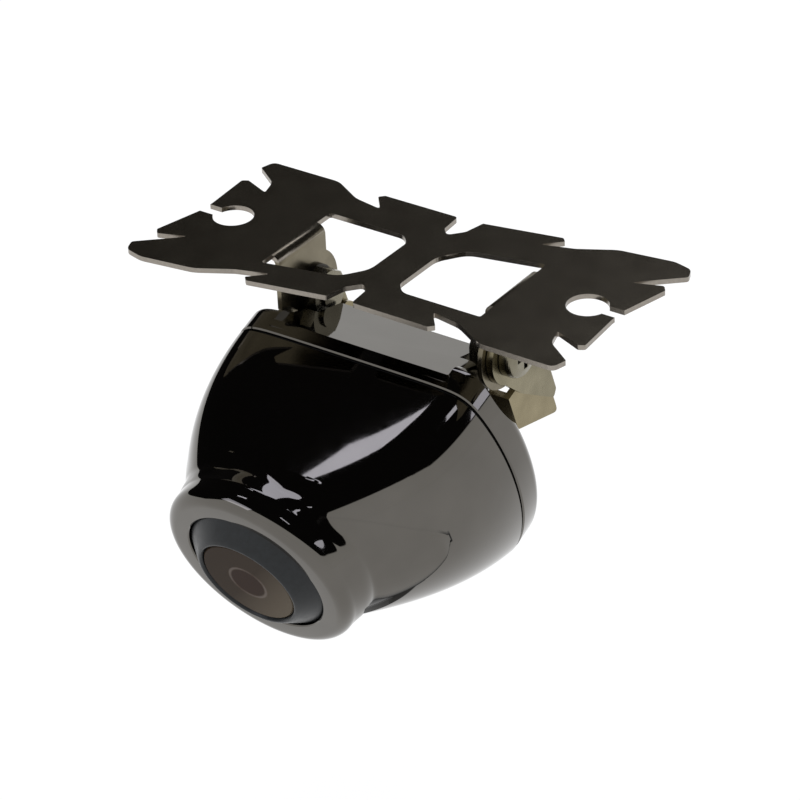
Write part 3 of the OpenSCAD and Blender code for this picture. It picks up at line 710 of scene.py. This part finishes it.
def map_range(tree, value, low, high, to_low, to_high):
    node = tree.nodes.new("ShaderNodeMapRange")
    node.inputs["From Min"].default_value = low
    node.inputs["From Max"].default_value = high
    node.inputs["To Min"].default_value = to_low
    node.inputs["To Max"].default_value = to_high
    tree.links.new(value, node.inputs["Value"])
    return node.outputs["Result"]


def add_bump(tree, shader, height, strength, distance):
    bump = tree.nodes.new("ShaderNodeBump")
    bump.inputs["Strength"].default_value = strength
    bump.inputs["Distance"].default_value = distance
    tree.links.new(height, bump.inputs["Height"])
    tree.links.new(bump.outputs["Normal"], shader.inputs["Normal"])


def math_node(tree, operation, first, second):
    """A math node of two inputs, each a socket or a plain number."""
    node = tree.nodes.new("ShaderNodeMath")
    node.operation = operation
    for socket, value in zip(node.inputs, (first, second)):
        if isinstance(value, (int, float)):
            socket.default_value = value
        else:
            tree.links.new(value, socket)
    return node.outputs[0]


def blend(tree, factor, first, second):
    node = tree.nodes.new("ShaderNodeMix")
    node.data_type = "RGBA"
    tree.links.new(factor, node.inputs["Factor"])
    tree.links.new(first, node.inputs["A"])
    tree.links.new(second, node.inputs["B"])
    return node.outputs["Result"]


def split_xyz(tree, vector):
    node = tree.nodes.new("ShaderNodeSeparateXYZ")
    tree.links.new(vector, node.inputs[0])
    return node.outputs


def coordinates(tree, name):
    return tree.nodes.new("ShaderNodeTexCoord").outputs[name]


def dark_chrome():
    """Black chrome, with painted shade: it turns matt and near-black where the mesh is marked in the
    cheeks' slits, grooves and tips.
    """
    material, tree, shader = new_material("dark_chrome")
    cloud = noise(tree, 160, 2.0)
    color = ramp(tree, cloud, [(0.3, (0.118, 0.111, 0.1)), (0.7, (0.13, 0.122, 0.11))])
    attribute = tree.nodes.new("ShaderNodeAttribute")
    attribute.attribute_name = "slit"
    slit = attribute.outputs["Fac"]
    # Painted shade: near-black matt colour laid into the marked slits, grooves and cheek tips
    dark = ramp(tree, cloud, [(0.3, (0.004, 0.004, 0.004)), (0.7, (0.006, 0.006, 0.006))])
    tree.links.new(blend(tree, slit, color, dark), shader.inputs["Base Color"])
    tree.links.new(map_range(tree, slit, 0, 1, 1, 0), shader.inputs["Metallic"])
    tree.links.new(map_range(tree, slit, 0, 1, 0.5, 0), shader.inputs["Specular IOR Level"])
    haze = noise(tree, 900, 4.0)
    tree.links.new(map_range(tree, haze, 0.3, 0.75, 0.03, 0.06), shader.inputs["Roughness"])
    return material


def plated_steel(name, dark, light, rough):
    """Olive plating with a slow drift of colour and a fine grain in its gloss."""
    material, tree, shader = new_material(name, Metallic=1.0)
    color = ramp(tree, noise(tree, 240, 3.0), [(0.3, dark), (0.7, light)])
    tree.links.new(color, shader.inputs["Base Color"])
    grain = noise(tree, 5000, 3.0)
    sheen = map_range(tree, grain, 0.3, 0.7, rough - 0.015, rough + 0.025)
    tree.links.new(sheen, shader.inputs["Roughness"])
    return material


def stamped_sheet(dark, light, edge, rough):
    """The plate's plating, with a painted highlight on the edges round its outline."""
    material = plated_steel("stamped_sheet", dark, light, rough)
    tree = material.node_tree
    shader = tree.nodes["Principled BSDF"]
    plating = shader.inputs["Base Color"].links[0].from_socket
    upright = math_node(tree, "ABSOLUTE", split_xyz(tree, coordinates(tree, "Normal"))["Z"], 0)
    height = split_xyz(tree, coordinates(tree, "Object"))["Z"]
    side = map_range(tree, upright, 0.2, 0.6, 1, 0)
    near_top = map_range(tree, height, -0.8 * MM, -0.7 * MM, 0, 1)
    # Painted highlight: the plate's edges round its outline get a brighter colour
    edge_highlight = ramp(tree, noise(tree, 3000, 2.0), [(0.3, edge), (0.7, tuple(0.85 * c for c in edge))])
    mixed = blend(tree, math_node(tree, "MULTIPLY", side, near_top), plating, edge_highlight)
    tree.links.new(mixed, shader.inputs["Base Color"])
    shader.inputs["Metallic"].default_value = 0.96
    return material


def plain_plastic(name, dark, light, roughness, gloss=0.5):
    material, tree, shader = new_material(name, Specular_IOR_Level=gloss)
    grain = noise(tree, 1500, 4.0)
    tree.links.new(ramp(tree, grain, [(0.3, dark), (0.7, light)]), shader.inputs["Base Color"])
    sheen = map_range(tree, grain, 0.3, 0.7, roughness - 0.05, roughness + 0.07)
    tree.links.new(sheen, shader.inputs["Roughness"])
    add_bump(tree, shader, grain, 0.08, 0.00002)
    return material


def clear_glass(name, color, roughness, bending):
    material, tree, shader = new_material(name, Transmission_Weight=1.0, IOR=bending)
    film = noise(tree, 600, 3.0)
    lighter = tuple(min(1, c * 1.06) for c in color)
    tree.links.new(ramp(tree, film, [(0.3, color), (0.7, lighter)]), shader.inputs["Base Color"])
    tree.links.new(map_range(tree, film, 0.3, 0.7, roughness, roughness + 0.02), shader.inputs["Roughness"])
    return material


def paint(obj, material):
    obj.data.materials.clear()
    obj.data.materials.append(material)


def soften_edges(node, width):
    """Breaks a CAD node's sharp edges so that they catch the light."""
    weld = node.modifiers.new("weld", "WELD")
    weld.merge_threshold = WELD_REACH * MM
    bevel = node.modifiers.new("edges", "BEVEL")
    bevel.width = width * MM
    bevel.segments = 2
    bevel.limit_method = "ANGLE"
    bevel.angle_limit = math.radians(40)
    bevel.harden_normals = False


def bounce_light_drift(tree, low, middle, high):
    """Painted bounce light: brown that lightens across the lens face, from the upper left to the lower
    right, as light from the floor would.
    """
    place = tree.nodes.new("ShaderNodeVectorMath")
    place.operation = "DOT_PRODUCT"
    tree.links.new(coordinates(tree, "Object"), place.inputs[0])
    place.inputs[1].default_value = BOUNCE_LIGHT_WAY
    centre = (HOUSING @ Vector((0, 0, NOSE_FRONT))).dot(Vector(BOUNCE_LIGHT_WAY))
    drift = map_range(tree, place.outputs["Value"], centre - WINDOW_R * MM, centre + WINDOW_R * MM, 0, 1)
    return ramp(tree, drift, [(0.0, low), (0.5, middle), (1.0, high)])


def tinted_window_painted_light():
    """Smoky brown window with painted light: its brown lightens towards the lower right as painted bounce
    light, the lens's pupil is painted on, and a painted glint ring lies round it.
    """
    white = (1, 1, 1)
    black = (0, 0, 0)
    material, tree, shader = new_material("window_tint_painted_light", Transmission_Weight=0.2, IOR=1.1)
    front = max((HOUSING.inverted() @ v.co).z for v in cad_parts["cover_window"].data.vertices)
    reach = tree.nodes.new("ShaderNodeVectorMath")
    reach.operation = "DISTANCE"
    tree.links.new(coordinates(tree, "Object"), reach.inputs[0])
    reach.inputs[1].default_value = HOUSING @ Vector((0, 0, front))
    radius = map_range(tree, reach.outputs["Value"], 0, WINDOW_R * MM, 0, 1)
    # Painted bounce light: the window's brown lightens towards the lower right
    smoke_and_bounce_light = bounce_light_drift(tree, (0.05, 0.03, 0.016), (0.055, 0.034, 0.018), (0.2, 0.16, 0.11))
    pupil = bounce_light_drift(tree, (0.05, 0.026, 0.014), (0.045, 0.019, 0.009), (0.05, 0.026, 0.014))
    # Painted glint: lighter arcs at the upper left and lower right of the ring round the pupil
    glint = bounce_light_drift(tree, (0.4, 0.35, 0.3), (0.1, 0.06, 0.04), (0.4, 0.35, 0.3))
    deep = ramp(tree, radius, list(zip(PUPIL, (white, black))))
    ring = ramp(tree, radius, list(zip(GLINT, (black, white, white, black))))
    color = blend(tree, ring, blend(tree, deep, smoke_and_bounce_light, pupil), glint)
    tree.links.new(color, shader.inputs["Base Color"])
    tree.links.new(map_range(tree, noise(tree, 600, 3.0), 0.3, 0.7, 0.02, 0.05), shader.inputs["Roughness"])
    return material


def dress():
    # The third colour is the painted highlight on the plate's edges
    sheet = stamped_sheet((0.15, 0.13, 0.09), (0.21, 0.185, 0.13), (0.33, 0.3, 0.26), 0.24)
    olive = plated_steel("olive_plating", (0.17, 0.15, 0.092), (0.25, 0.222, 0.145), 0.26)
    tan = plated_steel("tan_plating", (0.21, 0.175, 0.098), (0.29, 0.245, 0.145), 0.28)
    steel = plated_steel("screw_plating", (0.17, 0.155, 0.11), (0.26, 0.24, 0.185), 0.26)
    black_steel = plated_steel("black_steel", (0.03, 0.028, 0.025), (0.07, 0.065, 0.055), 0.35)
    chrome = dark_chrome()
    rubber = plain_plastic("black_rubber", (0.006, 0.006, 0.006), (0.012, 0.012, 0.012), 0.6)
    slate = plain_plastic("slate_ring", (0.015, 0.017, 0.018), (0.023, 0.026, 0.028), 0.34, 0.28)
    barrel = plain_plastic("barrel_brown", (0.07, 0.045, 0.03), (0.1, 0.066, 0.045), 0.4)
    brown = plain_plastic("stop_brown", (0.05, 0.022, 0.012), (0.075, 0.036, 0.02), 0.4)
    black = plain_plastic("inner_black", (0.008, 0.008, 0.008), (0.016, 0.016, 0.016), 0.5)
    board = plain_plastic("board_green", (0.02, 0.12, 0.045), (0.03, 0.17, 0.06), 0.35)
    chip = plain_plastic("chip_dark", (0.02, 0.03, 0.03), (0.04, 0.06, 0.055), 0.2)
    cream = plain_plastic("header_cream", (0.66, 0.6, 0.48), (0.74, 0.69, 0.57), 0.45)
    window = tinted_window_painted_light()
    lens = clear_glass("lens_glass", (0.9, 0.72, 0.6), 0.0, 1.3)
    finishes = {
        "mount_plate": sheet, "left_swivel_arm": olive, "right_swivel_arm": olive, "arm_rivets": olive,
        "rear_saddle": tan, "left_pivot_washer": black_steel, "right_pivot_washer": black_steel,
        "left_pivot_screw": steel, "right_pivot_screw": steel, "saddle_screws": steel,
        "housing_screws": steel, "board_screws": steel, "left_pivot_nut": steel, "right_pivot_nut": steel,
        "front_shell": chrome, "back_cover": chrome, "lens_ring": slate, "cover_gasket": rubber,
        "window_seal": rubber, "cable_gland": rubber, "cover_window": window, "front_lens": lens,
        "rear_lens": lens, "ir_filter": lens, "lens_barrel": barrel, "lens_spacer": brown,
        "lens_retainer": black, "lens_holder": black, "sensor_board": board, "image_sensor": chip,
        "wire_header": cream,
    }
    for name, material in finishes.items():
        paint(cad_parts[name], material)
    for name in ("mount_plate", "rear_saddle"):
        soften_edges(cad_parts[name], EDGE_BREAK)
    return {"chrome": chrome, "slate": slate, "olive": olive}


# Studio

def add_camera():
    azimuth = math.radians(VIEW_AZIMUTH)
    elevation = math.radians(VIEW_ELEVATION)
    level_part = math.cos(elevation)
    back = Vector((math.sin(azimuth) * level_part, -math.cos(azimuth) * level_part, math.sin(elevation)))
    level = Vector((math.cos(azimuth), math.sin(azimuth), 0))
    right = Matrix.Rotation(math.radians(VIEW_ROLL), 3, back) @ level
    up = back.cross(right)
    place = (back * VIEW_DISTANCE - right * VIEW_SIDE - up * VIEW_RISE) * MM
    data = bpy.data.cameras.new("camera")
    data.sensor_width = SENSOR_MM
    data.lens = FOCAL_MM
    data.clip_start = 0.01
    camera = bpy.data.objects.new("camera", data)
    bpy.context.scene.collection.objects.link(camera)
    camera.matrix_world = Matrix.Translation(place) @ Matrix((right, up, back)).transposed().to_4x4()
    bpy.context.scene.camera = camera


def seen_rays(tree):
    """One where a ray from the camera, a mirror or glass meets the surface, else zero."""
    path = tree.nodes.new("ShaderNodeLightPath")
    total = path.outputs["Is Camera Ray"]
    for name in ("Is Glossy Ray", "Is Transmission Ray"):
        total = math_node(tree, "MAXIMUM", total, path.outputs[name])
    return path, total


def add_floor():
    height = cad_box[0][2] - FLOOR_DROP
    corners = [(x * FLOOR_HALF, y * FLOOR_HALF, height) for x, y in ((-1, -1), (1, -1), (1, 1), (-1, 1))]
    mesh = bpy.data.meshes.new("floor")
    mesh.from_pydata(corners, [], [(0, 1, 2, 3)])
    floor = new_object("floor", mesh)
    material = bpy.data.materials.new("floor_white")
    material.use_nodes = True
    tree = material.node_tree
    tree.nodes.clear()
    diffuse = tree.nodes.new("ShaderNodeBsdfDiffuse")
    diffuse.inputs["Color"].default_value = FLOOR_LIT
    faint = tree.nodes.new("ShaderNodeBsdfDiffuse")
    faint.inputs["Color"].default_value = FLOOR_SEEN
    glow = tree.nodes.new("ShaderNodeEmission")
    glow.inputs["Strength"].default_value = FLOOR_GLOW
    white = tree.nodes.new("ShaderNodeAddShader")
    mix = tree.nodes.new("ShaderNodeMixShader")
    output = tree.nodes.new("ShaderNodeOutputMaterial")
    _, seen = seen_rays(tree)
    tree.links.new(faint.outputs[0], white.inputs[0])
    tree.links.new(glow.outputs[0], white.inputs[1])
    tree.links.new(seen, mix.inputs["Fac"])
    tree.links.new(diffuse.outputs[0], mix.inputs[1])
    tree.links.new(white.outputs[0], mix.inputs[2])
    tree.links.new(mix.outputs[0], output.inputs["Surface"])
    paint(floor, material)


def add_world():
    """White all round for the camera, a dark ceiling over white walls for mirrors, and a soft fill."""
    world = bpy.data.worlds.new("studio")
    bpy.context.scene.world = world
    world.use_nodes = True
    tree = world.node_tree
    tree.nodes.clear()
    way = split_xyz(tree, coordinates(tree, "Generated"))
    ahead = math_node(tree, "MULTIPLY", math_node(tree, "MINIMUM", way["Y"], 0), FRONT_WALL)
    beyond = math_node(tree, "SUBTRACT", -LEFT_START, way["X"])
    leftward = math_node(tree, "MULTIPLY", math_node(tree, "MAXIMUM", beyond, 0), LEFT_DROP)
    level = math_node(tree, "ADD", math_node(tree, "ADD", way["Z"], ahead), leftward)
    rise = map_range(tree, level, 0, WALL_TOP, 0, 1)
    walls = ramp(tree, rise, [(0.0, (1, 1, 1)), (0.9, WALL_EDGE), (1.0, CEILING)])
    mirror = tree.nodes.new("ShaderNodeBackground")
    tree.links.new(walls, mirror.inputs["Color"])
    white = tree.nodes.new("ShaderNodeBackground")
    fill = tree.nodes.new("ShaderNodeBackground")
    white.inputs["Color"].default_value = (1, 1, 1, 1)
    fill.inputs["Color"].default_value = FILL_GREY
    path, seen = seen_rays(tree)
    first = tree.nodes.new("ShaderNodeMixShader")
    second = tree.nodes.new("ShaderNodeMixShader")
    output = tree.nodes.new("ShaderNodeOutputWorld")
    tree.links.new(seen, first.inputs["Fac"])
    tree.links.new(fill.outputs[0], first.inputs[1])
    tree.links.new(mirror.outputs[0], first.inputs[2])
    tree.links.new(path.outputs["Is Camera Ray"], second.inputs["Fac"])
    tree.links.new(first.outputs[0], second.inputs[1])
    tree.links.new(white.outputs[0], second.inputs[2])
    tree.links.new(second.outputs[0], output.inputs["Surface"])


def add_lamp(name, place, aim, size, watts):
    data = bpy.data.lights.new(name, "AREA")
    data.color = LAMP_COLOR
    data.shape = "RECTANGLE"
    data.size, data.size_y = size
    data.energy = watts
    lamp = bpy.data.objects.new(name, data)
    bpy.context.scene.collection.objects.link(lamp)
    lamp.location = place
    lamp.rotation_euler = (Vector(aim) - Vector(place)).to_track_quat("-Z", "Y").to_euler()


bpy.context.scene.view_settings.view_transform = "Standard"
finishes = dress()
shell = make_front_shell()
cover = make_back_cover()
lens_ring = make_lens_ring()
for piece in (shell, cover):
    paint(piece, finishes["chrome"])
paint(lens_ring, finishes["slate"])
rivets = make_rivets()
paint(rivets, finishes["olive"])

add_camera()
add_floor()
add_world()
for lamp in LAMPS:
    add_lamp(*lamp)
